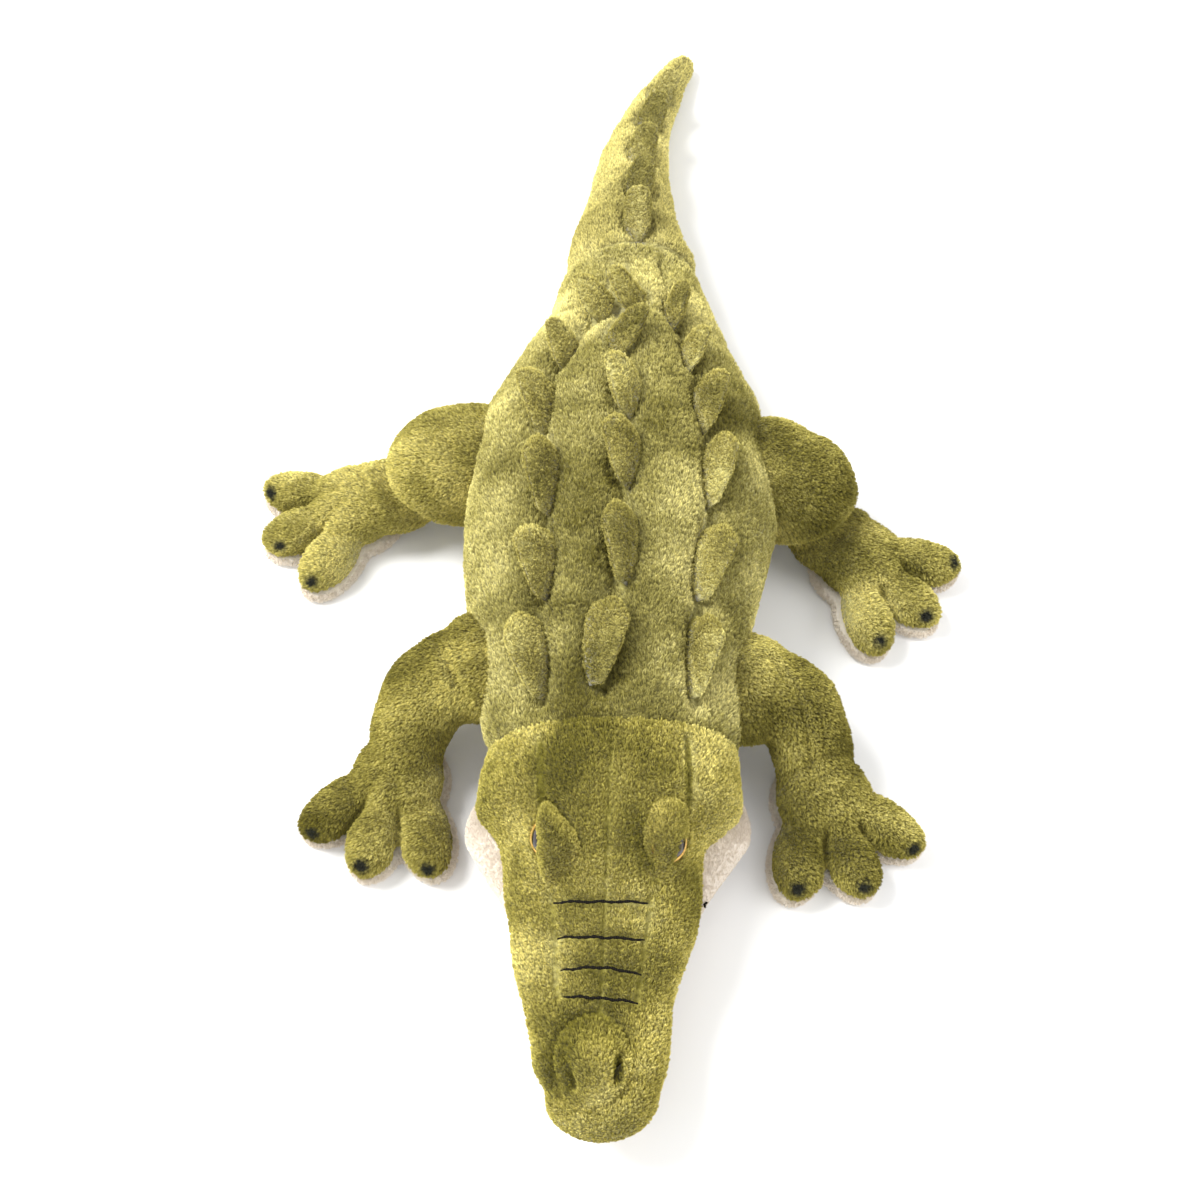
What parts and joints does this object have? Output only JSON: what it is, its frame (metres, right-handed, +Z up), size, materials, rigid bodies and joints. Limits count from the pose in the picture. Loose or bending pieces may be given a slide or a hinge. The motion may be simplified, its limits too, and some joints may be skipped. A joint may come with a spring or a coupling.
{
  "type": "plush crocodile",
  "caption": "Stuffed toy crocodile lying on its belly, with legs spread, toes on padded feet, rows of small fins along the back and a tail that bends.",
  "frame": {"origin": "on the floor under the middle of the torso, in the flat of the belly", "axes": "+Z up, -Y toward the snout, +Y toward the tail, +X toward the animal's own left"},
  "size_m": [0.2935, 0.5289, 0.0978],
  "materials": {
    "green_plush": "matte",
    "thigh_plush": "matte",
    "tail_plush": "matte",
    "pale_tip_plush": "matte",
    "fin_plush": "matte",
    "cream_plush": "matte",
    "polyester_filling": "matte",
    "eye_plastic": "gloss",
    "white_plastic": "matte"
  },
  "bodies": {
    "torso": {"torso_back_cloth": "green_plush", "torso_belly_cloth": "cream_plush", "torso_filling": "polyester_filling", "fin_middle_1": "fin_plush", "fin_middle_2": "fin_plush", "fin_middle_3": "fin_plush", "fin_middle_4": "fin_plush", "fin_middle_5": "fin_plush", "fin_middle_6": "fin_plush", "fin_left_1": "fin_plush", "fin_left_2": "fin_plush", "fin_left_3": "fin_plush", "fin_left_4": "fin_plush", "fin_left_5": "fin_plush", "fin_left_6": "fin_plush", "fin_right_1": "fin_plush", "fin_right_2": "fin_plush", "fin_right_3": "fin_plush", "fin_right_4": "fin_plush", "fin_right_5": "fin_plush", "fin_right_6": "fin_plush"},
    "head": {"head_upper_cloth": "green_plush", "head_jaw_cloth": "cream_plush", "head_filling": "polyester_filling", "eye_left": "eye_plastic", "eye_washer_left": "white_plastic", "brow_left": "green_plush", "eye_right": "eye_plastic", "eye_washer_right": "white_plastic", "brow_right": "green_plush"},
    "tail_root": {"tail_root_cloth": "tail_plush", "tail_root_filling": "polyester_filling", "fin_tail_root_1": "fin_plush", "fin_tail_root_2": "fin_plush"},
    "tail_tip": {"tail_tip_cloth": "pale_tip_plush", "tail_tip_filling": "polyester_filling", "fin_tail_tip_1": "fin_plush", "fin_tail_tip_2": "fin_plush", "fin_tail_tip_3": "fin_plush"},
    "leg_front_left": {"leg_front_left_cloth": "green_plush", "leg_front_left_filling": "polyester_filling", "foot_front_left_cloth": "green_plush", "foot_front_left_sole": "cream_plush", "foot_front_left_filling": "polyester_filling"},
    "leg_front_right": {"leg_front_right_cloth": "green_plush", "leg_front_right_filling": "polyester_filling", "foot_front_right_cloth": "green_plush", "foot_front_right_sole": "cream_plush", "foot_front_right_filling": "polyester_filling"},
    "leg_hind_left": {"leg_hind_left_cloth": "thigh_plush", "leg_hind_left_filling": "polyester_filling", "foot_hind_left_cloth": "green_plush", "foot_hind_left_sole": "cream_plush", "foot_hind_left_filling": "polyester_filling"},
    "leg_hind_right": {"leg_hind_right_cloth": "thigh_plush", "leg_hind_right_filling": "polyester_filling", "foot_hind_right_cloth": "green_plush", "foot_hind_right_sole": "cream_plush", "foot_hind_right_filling": "polyester_filling"}
  },
  "joints": [
    {"name": "head_nod", "type": "hinge", "parent": "torso", "child": "head", "pos_m": [-0.003, -0.086, 0.037], "axis": [-1, 0, 0], "range_deg": [-8, 8]},
    {"name": "tail_root_sway", "type": "hinge", "parent": "torso", "child": "tail_root", "pos_m": [0.006, 0.146, 0], "axis": [0, 0, 1], "range_deg": [-14, 14]},
    {"name": "tail_tip_sway", "type": "hinge", "parent": "tail_root", "child": "tail_tip", "pos_m": [0.008, 0.2, 0], "axis": [0, 0, 1], "range_deg": [-18, 18]},
    {"name": "front_left_leg_lift", "type": "hinge", "parent": "torso", "child": "leg_front_left", "pos_m": [0.048, -0.057, 0.037], "axis": [0, -1, 0], "range_deg": [-10, 30]},
    {"name": "front_right_leg_lift", "type": "hinge", "parent": "torso", "child": "leg_front_right", "pos_m": [-0.052, -0.048, 0.037], "axis": [0, 1, 0], "range_deg": [-10, 30]},
    {"name": "hind_left_leg_lift", "type": "hinge", "parent": "torso", "child": "leg_hind_left", "pos_m": [0.061, 0.0385, 0.032], "axis": [0, -1, 0], "range_deg": [-10, 20]},
    {"name": "hind_right_leg_lift", "type": "hinge", "parent": "torso", "child": "leg_hind_right", "pos_m": [-0.06, 0.043, 0.032], "axis": [0, 1, 0], "range_deg": [-10, 20]}
  ]
}
